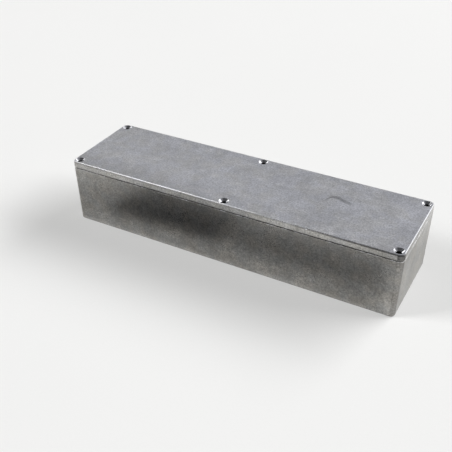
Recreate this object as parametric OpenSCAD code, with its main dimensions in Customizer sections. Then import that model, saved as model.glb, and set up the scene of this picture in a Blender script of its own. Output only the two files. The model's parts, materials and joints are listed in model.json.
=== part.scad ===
// Die cast enclosure: a long drafted box and the lid that its screw holes hold down.
// The origin is the middle of the underside, X runs along the length and Z points up.
// Sizes are in millimetres and angles in degrees.

/* [Outside] */
// Length at the joint between box and lid, where both castings are widest
length = 254; // [140:1:400]
// Width at the same joint
width = 69.5; // [48:0.5:150]
// Height with the lid on
height = 50.5; // [32:0.5:90]
// Radius of the upright corners at the joint
corner_r = 4; // [3:0.1:8]
// Lean of the cast walls, which narrow away from the joint
draft = 1.25; // [0.5:0.05:2.5]

/* [Box] */
// Thickness of the side walls
wall = 2.2; // [1.6:0.1:3]
// Thickness of the floor
floor_t = 2.4; // [1.6:0.1:4]
// Radius of the edge round the underside
foot_r = 1.4; // [0.4:0.1:2.2]
// Radius of the rim's outer edge
rim_r = 0.6; // [0.2:0.05:1]
// Fillet between the walls and the floor
floor_fillet = 2.5; // [1:0.1:5]

/* [Lid] */
// Height of the lid's side
lid_h = 5; // [4:0.1:8]
// Thickness of the lid's plate
plate_t = 2.4; // [1.8:0.1:3.2]
// Radius of the lid's top edge
top_r = 0.8; // [0.3:0.05:1.2]
// Radius of the lid's lower edge
seam_r = 0.7; // [0.1:0.05:1]
// Fillet round the recess under the plate
recess_fillet = 1.2; // [0.4:0.1:1.5]
// Flat between the recess and the lip
recess_land = 0.4; // [0.2:0.1:1.5]
// Depth of the lip that centres the lid in the box
lip_h = 2; // [1:0.1:4]
// Thickness of the lip
lip_t = 1.6; // [1:0.1:2.5]
// Radius of the lip's lower edges
lip_r = 0.4; // [0.1:0.05:0.45]
// Clearance between the lip and the walls
lip_gap = 0.3; // [0.1:0.05:0.6]

/* [Screw holes] */
// Holes along each long side, the corners included
holes_per_side = 3; // [2:1:6]
// Distance of the hole centres from the outside at the joint
hole_inset = 4.5; // [4.2:0.1:7]
// Diameter of the clearance holes through the lid
hole_d = 3.7; // [3.2:0.1:4.5]
// Diameter of the countersinks at the lid's face
sink_d = 7; // [5:0.1:7.4]
// Angle of the countersinks
sink_angle = 90; // [82, 90, 100]
// Core diameter of the tapped holes
core_d = 2.9; // [2.5:0.1:3.6]
// Depth of the tapped holes
core_depth = 16; // [8:0.5:24]
// Angle of the drill point at their ends
point_angle = 118; // [90, 118, 135]
// Width of the chamfer that leads into the tapped holes
lead_in = 0.5; // [0.2:0.1:0.8]
// Diameter of the bosses that the tapped holes are in
boss_d = 8.4; // [7:0.1:12]
// Fillet where the bosses meet the walls
boss_fillet = 2; // [0.5:0.1:2.2]
// Clearance between the ends of the lip and the bosses
boss_gap = 0.5; // [0.2:0.1:1.5]

/* [Hidden] */
$fn = 96;
cast_grey = [0.66, 0.665, 0.68];

// A cut runs this far past the face that it opens
past = 1;
// Rounded edges stand this far proud of the walls between them, so that arc and wall always cross
hair = 0.00002;
// Fillets reach this far into the wall that they end in
bite = 0.01;
slope = tan(draft);
box_h = height - lid_h;
boss_r = boss_d / 2;

// Rounds a radius up to a hundredth, so that the straight sides of a form meet its corners exactly
function up_to_hundredth(r) = ceil(100 * r) / 100;

// The cavity's corners narrow to the radius of the floor fillet
cavity_depth = box_h - floor_t;
cavity_l = length - 2 * wall;
cavity_w = width - 2 * wall;
cavity_r = up_to_hundredth(floor_fillet + cavity_depth * slope);

// The lip stands inside the walls, and the recess starts inside the lip
lip_inset = wall + lip_gap;
recess_inset = lip_inset + lip_t + recess_land;
recess_h = lid_h - plate_t;
recess_corner_r = up_to_hundredth(recess_fillet + recess_h * slope + recess_land);

hole_x = length / 2 - hole_inset;
hole_y = width / 2 - hole_inset;
hole_pitch = 2 * hole_x / (holes_per_side - 1);

// Half of a casting's section, from the axis of a corner out to the wall.
// The wall leans from r_low at the bottom to r_high at the top, and both its edges are rounded.
module half_section(r_low, r_high, h, edge_low, edge_high) {
    lean = atan((r_high - r_low) / h);
    low = [r_low - edge_low * tan((90 - lean) / 2), edge_low];
    high = [r_high - edge_high * tan((90 + lean) / 2), h - edge_high];
    outward = [cos(lean), -sin(lean)];
    wall_low = low + max(edge_low - hair, 0) * outward;
    wall_high = high + max(edge_high - hair, 0) * outward;
    polygon([
        [0, 0],
        [low.x, 0],
        wall_low,
        wall_high,
        [high.x, h],
        [0, h]
    ]);
    half_disc(low, edge_low);
    half_disc(high, edge_high);
}

// The outer half of a disc, which rounds an edge of a section
module half_disc(centre, r) {
    if (r > 0)
        translate(centre)
            intersection() {
                circle(r);
                translate([0, -r])
                    square([r, 2 * r]);
            }
}

// Carries a half section round a rectangle of l by w with corners of radius r
module cast_form(l, w, r, h) {
    core_l = l - 2 * r;
    core_w = w - 2 * r;
    translate([-core_l / 2, -core_w / 2, 0])
        cube([core_l, core_w, h]);
    for (side = [0, 1]) {
        mirror([0, side, 0])
            translate([-core_l / 2, core_w / 2, 0])
                rotate([90, 0, 90])
                    linear_extrude(core_l)
                        children();
        mirror([side, 0, 0])
            translate([core_l / 2, core_w / 2, 0])
                rotate([90, 0, 0])
                    linear_extrude(core_w)
                        children();
        for (end = [0, 1])
            mirror([end, 0, 0])
                mirror([0, side, 0])
                    translate([core_l / 2, core_w / 2, 0])
                        rotate_extrude(angle = 90)
                            children();
    }
}

// Puts a child at each screw hole, turned so that its +Y faces the nearest long wall.
// At the corners its +X faces the end wall, and $corner says which kind of place it is.
module at_holes() {
    for (side = [0, 1], i = [0 : holes_per_side - 1]) {
        last = i == holes_per_side - 1;
        $corner = i == 0 || last;
        mirror([0, side, 0])
            translate([-hole_x + i * hole_pitch, hole_y, 0])
                mirror([i == 0 ? 1 : 0, 0, 0])
                    children();
    }
}

// The concave fillet in the angle between a boss's side and a wall, grown past both
module root_fillet() {
    difference() {
        translate([-past, -past])
            square(boss_fillet + past);
        translate([boss_fillet, boss_fillet])
            circle(boss_fillet);
    }
}

// A boss seen from above: round towards the middle of the box and straight towards its walls
module boss_plan(fillets = true) {
    to_wall = hole_inset - wall + bite;
    circle(boss_r);
    translate([-boss_r, 0])
        square([boss_r + ($corner ? hole_inset : boss_r), hole_inset]);
    if (fillets)
        translate([-boss_r, to_wall])
            rotate(180)
                root_fillet();
    if ($corner)
        translate([0, -boss_r])
            square([hole_inset, boss_r]);
    if ($corner && fillets)
        translate([to_wall, -boss_r])
            rotate(180)
                root_fillet();
    if (!$corner && fillets)
        translate([boss_r, to_wall])
            rotate(-90)
                root_fillet();
}

// The outside of the box, without its hollow
module box_outside() {
    cast_form(length, width, corner_r, box_h)
        half_section(corner_r - box_h * slope, corner_r, box_h, foot_r, rim_r);
}

// The hollow of the box: a drafted cavity, less the bosses that stand in it
module box_hollow() {
    cut_h = cavity_depth + past;
    low_r = cavity_r - cavity_depth * slope;
    difference() {
        translate([0, 0, floor_t])
            cast_form(cavity_l, cavity_w, cavity_r, cut_h)
                half_section(low_r, low_r + cut_h * slope, cut_h, floor_fillet, 0);
        at_holes()
            linear_extrude(box_h + 2 * past)
                boss_plan();
    }
}

// A tapped hole from the rim down: lead-in chamfer, core and drill point
module tapped_hole() {
    core_r = core_d / 2;
    point_h = core_r / tan(point_angle / 2);
    translate([0, 0, box_h - core_depth]) {
        cylinder(h = core_depth + past, r = core_r);
        translate([0, 0, -point_h])
            cylinder(h = point_h, r1 = 0, r2 = core_r);
    }
    translate([0, 0, box_h - lead_in])
        cylinder(h = lead_in + past, r1 = core_r, r2 = core_r + lead_in + past);
}

module box() {
    color(cast_grey)
        difference() {
            box_outside();
            box_hollow();
            at_holes()
                tapped_hole();
        }
}

// The outside of the lid, from the joint up
module lid_outside() {
    cast_form(length, width, corner_r, lid_h)
        half_section(corner_r, corner_r - lid_h * slope, lid_h, seam_r, top_r);
}

// The section of the lip, hanging from the joint with its outer face at 0
module lip_section() {
    translate([-lip_t, lip_r - lip_h])
        square([lip_t, lip_h - lip_r + past]);
    translate([lip_r - lip_t, -lip_h])
        square([lip_t - 2 * lip_r, lip_h]);
    for (x = [lip_r - lip_t, -lip_r])
        translate([x, lip_r - lip_h])
            circle(lip_r);
}

// One straight run of the lip along X, ending clear of the bosses at both ends of a span
module lip_run(span) {
    run = span - 2 * (boss_r + boss_fillet + boss_gap);
    translate([-run / 2, 0, 0])
        rotate([90, 0, 90])
            linear_extrude(run)
                lip_section();
}

// The lip, broken where the bosses stand
module lid_lip() {
    for (side = [0, 180]) {
        rotate(side)
            for (i = [0 : holes_per_side - 2])
                translate([(i + 0.5) * hole_pitch - hole_x, width / 2 - lip_inset, 0])
                    lip_run(hole_pitch);
        rotate(side + 90)
            translate([0, length / 2 - lip_inset, 0])
                lip_run(2 * hole_y);
    }
}

// The recess under the plate, less the pads that rest on the bosses
module lid_recess() {
    cut_h = recess_h + past;
    top_corner_r = recess_corner_r - recess_h * slope;
    difference() {
        translate([0, 0, -past])
            cast_form(length - 2 * recess_inset, width - 2 * recess_inset, recess_corner_r, cut_h)
                half_section(top_corner_r + cut_h * slope, top_corner_r, cut_h, 0, recess_fillet);
        translate([0, 0, -2 * past])
            at_holes()
                linear_extrude(lid_h + 2 * past)
                    boss_plan(fillets = false);
    }
}

// A clearance hole through the lid with its countersink
module screw_hole() {
    hole_r = hole_d / 2;
    sink_r = sink_d / 2;
    flare = tan(sink_angle / 2);
    sink_h = (sink_r - hole_r) / flare;
    translate([0, 0, -past])
        cylinder(h = lid_h + 2 * past, r = hole_r);
    translate([0, 0, lid_h - sink_h])
        cylinder(h = sink_h + past, r1 = hole_r, r2 = sink_r + past * flare);
}

module lid() {
    color(cast_grey)
        translate([0, 0, box_h])
            union() {
                difference() {
                    lid_outside();
                    lid_recess();
                    at_holes()
                        screw_hole();
                }
                lid_lip();
            }
}

box();
lid();
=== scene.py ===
"""Looks of the die cast enclosure: cast aluminium on its two solids, a pale floor and soft studio light."""
import json
import math

import bpy
from mathutils import Matrix, Vector


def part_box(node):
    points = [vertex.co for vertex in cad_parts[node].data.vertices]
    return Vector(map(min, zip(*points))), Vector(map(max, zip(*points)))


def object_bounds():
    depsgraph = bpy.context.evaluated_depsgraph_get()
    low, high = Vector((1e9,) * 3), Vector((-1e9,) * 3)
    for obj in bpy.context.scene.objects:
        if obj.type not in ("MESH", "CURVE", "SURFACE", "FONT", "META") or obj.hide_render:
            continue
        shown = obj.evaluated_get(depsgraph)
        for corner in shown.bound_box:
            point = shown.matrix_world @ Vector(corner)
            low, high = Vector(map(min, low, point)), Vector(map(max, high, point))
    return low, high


MM = 0.001

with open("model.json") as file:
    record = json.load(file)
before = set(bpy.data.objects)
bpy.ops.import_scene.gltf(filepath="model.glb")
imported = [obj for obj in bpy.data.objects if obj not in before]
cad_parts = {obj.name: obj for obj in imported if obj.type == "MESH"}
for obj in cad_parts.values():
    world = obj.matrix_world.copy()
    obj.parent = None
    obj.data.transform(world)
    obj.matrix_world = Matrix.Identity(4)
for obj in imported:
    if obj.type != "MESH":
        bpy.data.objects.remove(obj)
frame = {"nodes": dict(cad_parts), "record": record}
cad_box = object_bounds()
mounts = {mount["name"]: mount for mount in frame["record"]["mounts"]}

# Screw holes, three along each long side: their places and bores as packed, their countersinks,
# and how softly these end
CORNER_SCREWS = mounts["lid_corner_screws"]["dims"]
HOLE_X = CORNER_SCREWS["spacing_x_mm"] / 2 * MM
HOLE_Y = CORNER_SCREWS["spacing_y_mm"] / 2 * MM
BORE_R = CORNER_SCREWS["hole_r_mm"] * MM
SINK_R = 3.5 * MM
SINK_DEPTH = 1.65 * MM
HOLE_SOFT = 0.1 * MM

# Heights of the lid's face and of the joint between box and lid
TOP_Z = cad_box[1].z
SEAM_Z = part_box("box")[1].z

# Cast surface: how far its patterns change the tone, the depths of its relief, and changes of roughness
CLOUD_SHARE = 0.19
BLOTCH_SHARE = 0.14
GRAIN_SHARE = 0.42
DRAG_SHARE = 0.03
DIMPLE_DEPTH = 0.035 * MM
GRAIN_DEPTH = 0.010 * MM
ROUGH_SWING = 0.05
CORNER_ROUGH = 0.10

# Drag marks run upright, so their pattern is finer along X and Y
DRAG_SCALE = (450.0, 450.0, 30.0)

# Worn level edges: how far they lose the cast tone and relief, and their own tone and roughness
EDGE_WEAR = 0.8
EDGE_SMOOTH = 0.85
EDGE_TONE = 1.05
EDGE_ROUGH = 0.25

# Where along X the painted shade and dirt in and under the joint fade in, coming from the -X end, where
# they are faintest
JOINT_SHADE_FADE_X = (-108 * MM, -78 * MM)

# The box's rim under the joint: its heights, which reach lower on the +X end, the shares of its colour left
# by its painted shade at the -X end and further along, and the colours and the cover of its painted
# highlight dashes
RIM_TOP = SEAM_Z - 0.2 * MM
RIM_LOW = SEAM_Z - 0.5 * MM
END_RIM_LOW = SEAM_Z - 0.9 * MM
RIM_SOFT = 0.08 * MM
RIM_SHADE_TONES = (0.9, 0.5)
RIM_DASH_HIGHLIGHT = (0.60, 0.60, 0.60, 1.0)
END_RIM_DASH_HIGHLIGHT = (0.92, 0.92, 0.92, 1.0)
END_RIM_HIGHLIGHT_COVER = (0.35, 0.85)

# Dirt and painted shade in the box's joint, and painted shade along its foot: the heights between which
# they fade in, their colour and their cover
BOX_JOINT_Z = (SEAM_Z - 0.16 * MM, SEAM_Z - 0.08 * MM)
FOOT_Z = (0.05 * MM, 0.15 * MM)
BOX_GRIME_AND_SHADE = (0.05, 0.05, 0.05, 1.0)
BOX_GRIME_AND_SHADE_COVER = 0.75

# Dirt and painted shade in the lid's joint: its lowest and highest place, its soft edge, its colour and its
# broken cover
LID_JOINT_Z = (SEAM_Z - 0.1 * MM, SEAM_Z + 0.3 * MM)
LID_JOINT_SOFT = 0.12 * MM
LID_GRIME_AND_SHADE = (0.04, 0.04, 0.04, 1.0)
LID_GRIME_AND_SHADE_COVER = (0.6, 0.9)

# Painted shade on the lid, in place of darker reflections and of the shade in its bores: where it lies, and
# the share of its colour that is left there
FRONT_EDGE_Z = (TOP_Z - 1.2 * MM, TOP_Z - 0.4 * MM)
FRONT_EDGE_SOFT = 0.15 * MM
FRONT_EDGE_X = (40 * MM, 115 * MM)
FRONT_EDGE_SHADE = 0.30
FRONT_STRIP_X = (-100 * MM, 80 * MM)
FRONT_STRIP_Y = (-34 * MM, -6 * MM)
FRONT_STRIP_SHADE = 0.79
FRONT_ENDS_X = (85 * MM, 105 * MM)
FRONT_ENDS_SHADE = 0.77
RIGHT_END_SHADE = 0.84
SINK_FRONT_SHADE = 0.42
BORE_SHADE = 0.25

# The lid's side is a little warmer than its face
SIDE_TINT = (1.02, 1.0, 0.95)

# Bare metal in the countersinks and the nick, with the turning rings of the countersinks
BARE_METAL = (0.86, 0.865, 0.88, 1.0)
BARE_ROUGH = 0.17
RING_PITCH = 0.3 * MM
RING_DEPTH = 0.0004 * MM

# A scuff on the lid: the top of its arch, the curve before it, the run and drop after it, its ends,
# how far it fades at each of them, between which distances to either side it fades, and its tone
SCUFF_TOP = Vector((65.0, 9.1)) * MM
SCUFF_CURVE = 0.26 / MM
SCUFF_RUN = 13.0 * MM
SCUFF_DROP = 3.3 * MM
SCUFF_START = 59.3 * MM
SCUFF_END = 82.5 * MM
SCUFF_FADE_IN = 2 * MM
SCUFF_FADE_OUT = 8 * MM
SCUFF_SIDES = (0.3 * MM, 2.8 * MM)
SCUFF_TONE = 0.57

# A nick in the lid's front edge, and the radii between which it fades
NICK = Vector((62.6, -34.6, 50.1)) * MM
NICK_RADII = (0.5 * MM, 0.9 * MM)

# Camera, fitted to the photograph
FOCAL_MM = 57.96
SENSOR_MM = 36.0
CAMERA_PLACE = Vector((0.205470, -0.394245, 0.313018))
CAMERA_AZIMUTH = 150.736
CAMERA_ELEVATION = 34.134
CAMERA_ROLL = math.radians(-0.696)

# Soft boxes: name, azimuth, elevation and distance as seen from the object, size and radiance.
# The first kind only lights the metal, and the second kind only the floor.
MIRRORED_LIGHTS = (
    ("left_box", -83, 16, 1.2, (0.84, 0.48), 1.7),
    ("right_box", 33, 22, 1.2, (0.94, 0.76), 1.3),
    ("high_box", -78, 57, 1.2, (0.86, 0.38), 4.0),
)
FLOOR_LIGHTS = (
    ("floor_back", 43, 34, 8.0, (8.00, 2.67), 14.4),
    ("floor_side", -121, 34, 8.0, (2.93, 2.67), 18.4),
)

# Dark cloths that lie in front and only reflections see: name, size, place, soft edge and cover
FLAGS = (
    ("flag_front", (0.320, 0.091), (-0.025, -0.0645, 0.003), 0.030, 0.42),
    ("flag_long", (0.240, 0.064), (0.005, -0.072, 0.005), 0.022, 0.76),
    ("flag_wide", (0.109, 0.073), (-0.056, -0.071, 0.010), 0.018, 0.98),
)
FLAG_COLOUR = (0.02, 0.02, 0.022)

# The studio: the azimuth and elevation of its bright wall, which the lid mirrors,
# how bright it is there, elsewhere and near the floor, and its colour
BRIGHT_WALL = (9, 33)
STUDIO_BRIGHT = 0.55
STUDIO_DIM = 0.17
STUDIO_LOW = 0.88
STUDIO_COLOUR = (0.935, 0.945, 1.0, 1.0)

# The pale floor, and what it adds to its lit colour where a ray sees it directly
FLOOR_SIZE = (12.0, 12.0)
FLOOR_COLOUR = (0.50, 0.50, 0.496)
FLOOR_GLOW = 0.34
GLOW_COLOUR = (1.0, 1.0, 0.99, 1.0)


def towards(azimuth, elevation):
    """The direction at an azimuth, in degrees from +Y to +X, and an elevation."""
    turn = math.radians(azimuth)
    lift = math.radians(elevation)
    return Vector((math.sin(turn) * math.cos(lift), math.cos(turn) * math.cos(lift), math.sin(lift)))


class Graph:
    """A node tree, with short calls for the nodes that are used here.

    x, y and z are the place on the object in metres, and facing_x, facing_y and facing_z its normal.
    """

    def __init__(self, owner):
        owner.use_nodes = True
        self.owner = owner
        self.tree = owner.node_tree
        self.coords = self.add("ShaderNodeTexCoord").outputs
        self.place = self.coords["Object"]
        self.normal = self.add("ShaderNodeNewGeometry").outputs["Normal"]
        self.x, self.y, self.z = self.axes(self.place)
        self.facing_x, self.facing_y, self.facing_z = self.axes(self.normal)

    def add(self, kind, **settings):
        node = self.tree.nodes.new(kind)
        for key, value in settings.items():
            setattr(node, key, value)
        return node

    def feed(self, socket, value):
        if isinstance(value, bpy.types.NodeSocket):
            self.tree.links.new(value, socket)
        else:
            socket.default_value = value

    def shade(self, **inputs):
        """Sets inputs of the material's shader, named with _ for each space."""
        shader = self.tree.nodes["Principled BSDF"]
        for name, value in inputs.items():
            self.feed(shader.inputs[name.replace("_", " ")], value)

    def math(self, operation, a, b=0.0):
        node = self.add("ShaderNodeMath", operation=operation)
        self.feed(node.inputs[0], a)
        self.feed(node.inputs[1], b)
        return node.outputs[0]

    def product(self, *factors):
        result = factors[0]
        for factor in factors[1:]:
            result = self.math("MULTIPLY", result, factor)
        return result

    def axes(self, vector):
        node = self.add("ShaderNodeSeparateXYZ")
        self.feed(node.inputs[0], vector)
        return node.outputs

    def dot(self, vector, direction):
        node = self.add("ShaderNodeVectorMath", operation="DOT_PRODUCT")
        self.feed(node.inputs[0], vector)
        node.inputs[1].default_value = direction
        return node.outputs["Value"]

    def distance(self, point):
        node = self.add("ShaderNodeVectorMath", operation="DISTANCE")
        self.feed(node.inputs[0], self.place)
        node.inputs[1].default_value = point
        return node.outputs["Value"]

    def stretched(self, scale):
        node = self.add("ShaderNodeMapping")
        self.feed(node.inputs["Vector"], self.place)
        node.inputs["Scale"].default_value = scale
        return node.outputs[0]

    def noise(self, grain, detail=2.0, rough=0.5, bend=0.0, place=None):
        """Noise between 0 and 1 whose features are about one grain, in metres, across."""
        node = self.add("ShaderNodeTexNoise")
        self.feed(node.inputs["Vector"], place or self.place)
        node.inputs["Scale"].default_value = 1.0 / grain
        node.inputs["Detail"].default_value = detail
        node.inputs["Roughness"].default_value = rough
        node.inputs["Distortion"].default_value = bend
        return node.outputs["Fac"]

    def remap(self, value, low, high, to_low=0.0, to_high=1.0, smooth=True):
        node = self.add("ShaderNodeMapRange", interpolation_type="SMOOTHSTEP" if smooth else "LINEAR")
        self.feed(node.inputs["Value"], value)
        node.inputs["From Min"].default_value = low
        node.inputs["From Max"].default_value = high
        node.inputs["To Min"].default_value = to_low
        node.inputs["To Max"].default_value = to_high
        return node.outputs["Result"]

    def vary(self, noise, share):
        """A gain round 1 that follows a noise, by a share of 1 either way."""
        return self.remap(noise, 0.25, 0.75, 1.0 - share, 1.0 + share, smooth=False)

    def within(self, value, low, high, soft):
        """1 between low and high, falling to 0 over a soft edge outside them."""
        rising = self.remap(value, low - soft, low)
        falling = self.remap(value, high, high + soft, 1.0, 0.0)
        return self.product(rising, falling)

    def mix(self, factor, a, b):
        """Mixes two colours."""
        node = self.add("ShaderNodeMix", data_type="RGBA")
        self.feed(node.inputs["Factor"], factor)
        self.feed(node.inputs[6], a)
        self.feed(node.inputs[7], b)
        return node.outputs[2]

    def blend(self, factor, a, b):
        """Mixes two numbers."""
        node = self.add("ShaderNodeMix", data_type="FLOAT")
        self.feed(node.inputs["Factor"], factor)
        self.feed(node.inputs[2], a)
        self.feed(node.inputs[3], b)
        return node.outputs[0]

    def turn(self, factor, a, b):
        """Mixes two normals."""
        node = self.add("ShaderNodeMix", data_type="VECTOR")
        self.feed(node.inputs["Factor"], factor)
        self.feed(node.inputs[4], a)
        self.feed(node.inputs[5], b)
        return node.outputs[1]

    def tone(self, colour, gain):
        node = self.add("ShaderNodeVectorMath", operation="SCALE")
        self.feed(node.inputs[0], colour)
        self.feed(node.inputs["Scale"], gain)
        return node.outputs[0]

    def tint(self, colour, shares):
        node = self.add("ShaderNodeVectorMath", operation="MULTIPLY")
        self.feed(node.inputs[0], colour)
        node.inputs[1].default_value = shares
        return node.outputs[0]

    def darken(self, colour, mask, share):
        """Leaves a share of the colour where the mask is 1."""
        return self.tone(colour, self.remap(mask, 0.0, 1.0, 1.0, share))

    def bump(self, height, depth, under=None):
        node = self.add("ShaderNodeBump")
        node.inputs["Distance"].default_value = depth
        self.feed(node.inputs["Height"], height)
        if under is not None:
            self.feed(node.inputs["Normal"], under)
        return node.outputs[0]


def level_edges(graph):
    """1 on the rounded level edges of a casting, 0 on its flat faces and upright corners."""
    tilt = graph.math("ABSOLUTE", graph.facing_z)
    return graph.within(tilt, 0.30, 0.90, 0.15)


def upright_corners(graph):
    """1 on the upright corners at the +X end of a casting, less at its -X end, 0 on its flat faces."""
    both_ways = graph.math("ABSOLUTE", graph.product(graph.facing_x, graph.facing_y))
    rounded = graph.remap(both_ways, 0.03, 0.09)
    return graph.product(rounded, graph.remap(graph.x, -60 * MM, 60 * MM, 0.2, 1.0))


def hole_distance(graph):
    """Distance from the nearest screw hole's axis, in metres."""
    along = graph.math("ABSOLUTE", graph.x)
    to_corner = graph.math("ABSOLUTE", graph.math("SUBTRACT", along, HOLE_X))
    along = graph.math("MINIMUM", along, to_corner)
    across = graph.math("SUBTRACT", graph.math("ABSOLUTE", graph.y), HOLE_Y)
    squares = graph.math("ADD", graph.product(along, along), graph.product(across, across))
    return graph.math("SQRT", squares)


def joint_shade_fade(graph):
    """0 at the -X end and 1 further along X: how fully the painted shade and dirt in and under the joint
    show.
    """
    return graph.remap(graph.x, *JOINT_SHADE_FADE_X)


def scuff_mask(graph):
    """1 along the scuff on the lid's face, broken up and fading at its ends."""
    along = graph.math("SUBTRACT", graph.x, SCUFF_TOP.x)
    before = graph.math("MINIMUM", along, 0.0)
    after = graph.remap(along, 0.0, SCUFF_RUN, 0.0, SCUFF_DROP)
    drop = graph.math("ADD", graph.product(before, before, SCUFF_CURVE), after)
    across = graph.math("SUBTRACT", graph.y, SCUFF_TOP.y)
    off = graph.math("ABSOLUTE", graph.math("ADD", across, drop))
    return graph.product(
        graph.remap(off, *SCUFF_SIDES, 1.0, 0.0),
        graph.remap(graph.x, SCUFF_START, SCUFF_START + SCUFF_FADE_IN),
        graph.remap(graph.x, SCUFF_END - SCUFF_FADE_OUT, SCUFF_END, 1.0, 0.0),
        graph.remap(graph.noise(2.5 * MM), 0.25, 0.55, 0.6, 1.0),
    )


def cast_aluminium(name, cool, warm, roughness, painted_corner_shade, mottle, front):
    """Tumbled die cast aluminium: cloudy tone, fine grain, faint drag marks, worn edges and painted shade
    on the upright corners.

    Its colour lies between cool and warm, painted_corner_shade is the share of it that the upright corners
    keep under their painted shade, mottle the strength of clouds, blotches and grain, and front the power
    of those on the front wall.
    """
    graph = Graph(bpy.data.materials.new(name))
    clouds = graph.noise(24 * MM, detail=4.0, rough=0.55, bend=0.8)
    blotches = graph.noise(5 * MM, detail=3.0, rough=0.6, bend=0.3)
    grain = graph.noise(1.2 * MM, detail=3.0, rough=0.7)
    specks = graph.noise(0.45 * MM, detail=1.0)
    drag = graph.noise(1.0, detail=3.0, rough=0.6, place=graph.stretched(DRAG_SCALE))
    edges = graph.product(level_edges(graph), graph.remap(graph.noise(4 * MM), 0.25, 0.6, 0.75, 1.0))
    worn = graph.product(edges, EDGE_WEAR)
    corners = upright_corners(graph)

    warmth = graph.remap(graph.noise(11 * MM, detail=2.0), 0.35, 0.65)
    gain = graph.product(
        graph.vary(clouds, CLOUD_SHARE * mottle),
        graph.vary(blotches, BLOTCH_SHARE * mottle),
        graph.vary(grain, GRAIN_SHARE * mottle),
        graph.vary(drag, DRAG_SHARE),
    )
    gain = graph.math("POWER", gain, graph.remap(graph.facing_y, -0.3, -0.9, 1.0, front))
    # Painted shade on the upright corners, the deepest at the +X end
    gain = graph.product(gain, graph.remap(corners, 0.0, 1.0, 1.0, painted_corner_shade))
    colour = graph.tone(graph.mix(warmth, cool, warm), graph.blend(worn, gain, EDGE_TONE))

    dull, bright = roughness + ROUGH_SWING, roughness - ROUGH_SWING
    rough = graph.remap(clouds, 0.25, 0.75, dull, bright, smooth=False)
    rough = graph.math("ADD", rough, graph.remap(specks, 0.3, 0.7, -ROUGH_SWING, ROUGH_SWING, smooth=False))
    rough = graph.math("ADD", rough, graph.product(corners, CORNER_ROUGH))
    rough = graph.blend(worn, rough, EDGE_ROUGH)

    relief = graph.bump(graph.noise(2.6 * MM, detail=2.0), DIMPLE_DEPTH)
    relief = graph.bump(grain, GRAIN_DEPTH, under=relief)
    relief = graph.turn(graph.product(edges, EDGE_SMOOTH), relief, graph.normal)
    return graph, colour, rough, relief


def paint_rim_shade_and_highlights(graph, colour):
    """Paints shade on the box's rim under the joint, and bright dashes of painted highlight on it, the
    widest on the +X end.
    """
    dashes = graph.product(
        graph.remap(graph.noise(2.2 * MM, detail=2.0), 0.44, 0.56),
        graph.remap(graph.noise(16 * MM), 0.38, 0.54),
    )
    # Painted shade on the rim, faintest at the -X end, broken by dashes of painted highlight
    dull = graph.tone(colour, graph.remap(joint_shade_fade(graph), 0.0, 1.0, *RIM_SHADE_TONES))
    rim = graph.within(graph.z, RIM_LOW, RIM_TOP, RIM_SOFT)
    colour = graph.mix(rim, colour, graph.mix(dashes, dull, RIM_DASH_HIGHLIGHT))
    # Wider dashes of painted highlight on the rim at the +X end
    end_rim = graph.product(
        graph.within(graph.z, END_RIM_LOW, RIM_TOP, RIM_SOFT),
        graph.remap(graph.facing_x, 0.60, 0.85),
        graph.remap(dashes, 0.0, 1.0, *END_RIM_HIGHLIGHT_COVER),
    )
    return graph.mix(end_rim, colour, END_RIM_DASH_HIGHLIGHT)


def box_material():
    """The casting with painted shade and painted highlight dashes on the rim under the joint, dirt and
    painted shade in the joint, and painted shade along the foot.
    """
    graph, colour, rough, relief = cast_aluminium(
        "box_cast_aluminium",
        cool=(0.41, 0.407, 0.395, 1.0),
        warm=(0.43, 0.413, 0.385, 1.0),
        roughness=0.33,
        painted_corner_shade=0.72,
        mottle=0.65,
        front=1.65,
    )
    colour = paint_rim_shade_and_highlights(graph, colour)
    # Dirt and painted shade in the joint, and painted shade along the foot
    joint = graph.product(graph.remap(graph.z, *BOX_JOINT_Z), joint_shade_fade(graph))
    foot = graph.product(graph.remap(graph.facing_z, -0.15, -0.40), graph.remap(graph.z, *FOOT_Z))
    grime_and_shade = graph.product(graph.math("MAXIMUM", joint, foot), BOX_GRIME_AND_SHADE_COVER)
    colour = graph.mix(grime_and_shade, colour, BOX_GRIME_AND_SHADE)
    graph.shade(Base_Color=colour, Roughness=rough, Normal=relief, Metallic=1.0)
    return graph.owner


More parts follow.
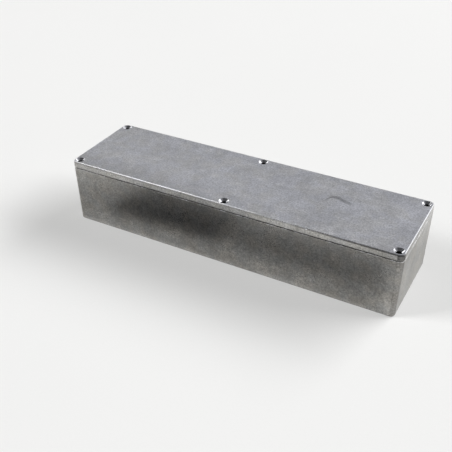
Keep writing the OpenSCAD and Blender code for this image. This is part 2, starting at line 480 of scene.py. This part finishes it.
def tone_lid(graph, colour):
    """Paints shade on the lid in places, darkens its scuff, tints its side and puts dirt and painted shade
    in the joint.
    """
    upward = graph.remap(graph.facing_z, 0.9, 0.98)
    scuff = graph.product(scuff_mask(graph), upward)
    # Painted shade: a dark line under the lid's front top edge, the deepest towards +X, in place of a dark
    # reflection
    front_edge_shade = graph.product(
        graph.within(graph.z, *FRONT_EDGE_Z, FRONT_EDGE_SOFT),
        graph.remap(graph.facing_y, -0.4, -0.6),
        graph.remap(graph.x, *FRONT_EDGE_X, 0.4, 1.0),
    )
    # Painted shade on the lid's side at the +X end
    right_end_shade = graph.remap(graph.facing_x, 0.80, 0.95)
    # Painted shade on the lid's face near its front edge, the deepest towards -X
    front_strip_shade = graph.product(
        graph.remap(graph.y, *FRONT_STRIP_Y, 1.0, 0.0),
        graph.remap(graph.x, *FRONT_STRIP_X, 1.0, 0.1),
        upward,
    )
    # Painted shade on the lid's front side near both ends
    front_ends_shade = graph.product(
        graph.remap(graph.facing_y, -0.85, -0.95),
        graph.remap(graph.math("ABSOLUTE", graph.x), *FRONT_ENDS_X),
    )
    colour = graph.darken(colour, scuff, SCUFF_TONE)
    colour = graph.darken(colour, front_edge_shade, FRONT_EDGE_SHADE)
    colour = graph.darken(colour, right_end_shade, RIGHT_END_SHADE)
    colour = graph.darken(colour, front_strip_shade, FRONT_STRIP_SHADE)
    colour = graph.darken(colour, front_ends_shade, FRONT_ENDS_SHADE)

    side = graph.remap(graph.facing_z, 0.5, 0.2)
    colour = graph.mix(side, colour, graph.tint(colour, SIDE_TINT))
    # Dirt and painted shade in the lid's joint, fading in from the -X end
    joint = graph.product(
        graph.within(graph.z, *LID_JOINT_Z, LID_JOINT_SOFT),
        graph.remap(graph.noise(1.6 * MM, detail=2.0), 0.3, 0.5, *LID_GRIME_AND_SHADE_COVER),
        joint_shade_fade(graph),
    )
    return graph.mix(joint, colour, LID_GRIME_AND_SHADE)


def lid_material():
    """The casting with its tones and painted shade, bare metal in its countersinks and in a nick in its
    front edge, and painted shade in its bores and on its countersinks' faces towards the front.
    """
    graph, colour, rough, relief = cast_aluminium(
        "lid_cast_aluminium",
        cool=(0.575, 0.58, 0.60, 1.0),
        warm=(0.585, 0.583, 0.58, 1.0),
        roughness=0.37,
        painted_corner_shade=0.38,
        mottle=1.15,
        front=1.0,
    )
    colour = tone_lid(graph, colour)
    far = hole_distance(graph)
    sink_floor = TOP_Z - SINK_DEPTH
    sink = graph.product(
        graph.remap(far, SINK_R, SINK_R + HOLE_SOFT, 1.0, 0.0),
        graph.remap(graph.z, sink_floor - HOLE_SOFT, sink_floor),
    )
    nick = graph.remap(graph.distance(NICK), *NICK_RADII, 1.0, 0.0)
    bare = graph.math("MAXIMUM", sink, nick)
    # Painted shade in the bores below the countersinks
    bore_shade = graph.remap(far, BORE_R, BORE_R + HOLE_SOFT, BORE_SHADE, 1.0)
    # Painted shade on the countersinks' faces towards the front
    sink_front_shade = graph.product(sink, graph.remap(graph.facing_y, -0.45, -0.62))
    colour = graph.tone(graph.mix(bare, colour, BARE_METAL), bore_shade)
    colour = graph.darken(colour, sink_front_shade, SINK_FRONT_SHADE)
    rough = graph.blend(bare, rough, BARE_ROUGH)
    rings = graph.math("SINE", graph.product(far, 2 * math.pi / RING_PITCH))
    normal = graph.turn(sink, relief, graph.bump(rings, RING_DEPTH))
    graph.shade(Base_Color=colour, Roughness=rough, Normal=normal, Metallic=1.0)
    return graph.owner


def dress(name, material):
    """Gives a node of the frame its material."""
    slots = frame["nodes"][name].data.materials
    slots.clear()
    slots.append(material)


def card(name, size, place, material):
    """A flat level stage piece, not part of the object."""
    mesh = bpy.data.meshes.new(name)
    x, y = size[0] / 2, size[1] / 2
    mesh.from_pydata([(-x, -y, 0), (x, -y, 0), (x, y, 0), (-x, y, 0)], [], [(0, 1, 2, 3)])
    mesh.materials.append(material)
    piece = bpy.data.objects.new(name, mesh)
    piece.location = place
    bpy.context.scene.collection.objects.link(piece)
    return piece


def floor():
    """A pale floor that looks white to the camera and in the metal, and keeps the shadows."""
    graph = Graph(bpy.data.materials.new("pale_floor"))
    clouds = graph.vary(graph.noise(0.35, detail=3.0), 0.012)
    grain = graph.vary(graph.noise(1.5 * MM), 0.01)
    colour = graph.tone(FLOOR_COLOUR, graph.product(clouds, grain))
    path = graph.add("ShaderNodeLightPath").outputs
    seen = graph.math("MAXIMUM", path["Is Camera Ray"], path["Is Glossy Ray"])
    seen = graph.math("MAXIMUM", seen, path["Is Transmission Ray"])
    graph.shade(Base_Color=colour, Roughness=0.8, Specular_IOR_Level=0.0)
    graph.shade(Emission_Color=GLOW_COLOUR, Emission_Strength=graph.product(seen, FLOOR_GLOW))
    card("floor", FLOOR_SIZE, (0.0, 0.0, cad_box[0].z), graph.owner)


def flag(name, size, place, soft, cover):
    """A dark cloth with soft edges, which keeps the front wall deep in tone."""
    graph = Graph(bpy.data.materials.new(name))
    weave = graph.vary(graph.noise(2 * MM), 0.2)
    inside = [
        graph.remap(graph.math("ABSOLUTE", value), length / 2 - soft, length / 2, 1.0, 0.0)
        for value, length in zip((graph.x, graph.y), size)
    ]
    graph.shade(
        Base_Color=graph.tone(FLAG_COLOUR, weave),
        Roughness=0.9,
        Alpha=graph.product(*inside, cover),
    )
    piece = card(name, size, place, graph.owner)
    piece.visible_camera = False
    piece.visible_diffuse = False
    piece.visible_shadow = False


def soft_box(name, azimuth, elevation, distance, size, radiance):
    """A rectangular lamp that faces the object."""
    lamp = bpy.data.lights.new(name, "AREA")
    lamp.shape = "RECTANGLE"
    lamp.size, lamp.size_y = size
    lamp.energy = radiance * math.pi * size[0] * size[1]
    light = bpy.data.objects.new(name, lamp)
    light.location = distance * towards(azimuth, elevation)
    light.rotation_euler = (-light.location).to_track_quat("-Z", "Y").to_euler()
    bpy.context.scene.collection.objects.link(light)
    return light


def studio():
    """A dim studio with a bright wall behind the object, and pale near the floor."""
    graph = Graph(bpy.data.worlds.new("studio"))
    direction = graph.coords["Generated"]
    walls = graph.remap(graph.dot(direction, towards(*BRIGHT_WALL)), 0.5, 0.9, STUDIO_DIM, STUDIO_BRIGHT)
    low = graph.remap(graph.axes(direction)[2], 0.06, 0.42, STUDIO_LOW, 0.0)
    background = graph.tree.nodes["Background"]
    graph.feed(background.inputs["Strength"], graph.math("MAXIMUM", walls, low))
    background.inputs["Color"].default_value = STUDIO_COLOUR
    bpy.context.scene.world = graph.owner
    graph.owner.cycles_visibility.diffuse = False


def camera():
    """The photograph's view."""
    aim = -towards(CAMERA_AZIMUTH, CAMERA_ELEVATION)
    level = aim.cross(Vector((0.0, 0.0, 1.0))).normalized()
    upward = level.cross(aim)
    right = math.cos(CAMERA_ROLL) * level + math.sin(CAMERA_ROLL) * upward
    up = math.cos(CAMERA_ROLL) * upward - math.sin(CAMERA_ROLL) * level
    lens = bpy.data.cameras.new("photo_view")
    lens.lens = FOCAL_MM
    lens.sensor_width = SENSOR_MM
    lens.clip_start = 0.01
    viewer = bpy.data.objects.new("photo_view", lens)
    turn = Matrix((right, up, -aim)).transposed().to_4x4()
    viewer.matrix_world = Matrix.Translation(CAMERA_PLACE) @ turn
    bpy.context.scene.collection.objects.link(viewer)
    bpy.context.scene.camera = viewer


dress("box", box_material())
dress("lid", lid_material())
floor()
for settings in FLAGS:
    flag(*settings)
for settings in MIRRORED_LIGHTS:
    soft_box(*settings).visible_diffuse = False
for settings in FLOOR_LIGHTS:
    soft_box(*settings).visible_glossy = False
studio()
camera()
bpy.context.scene.view_settings.view_transform = "Standard"
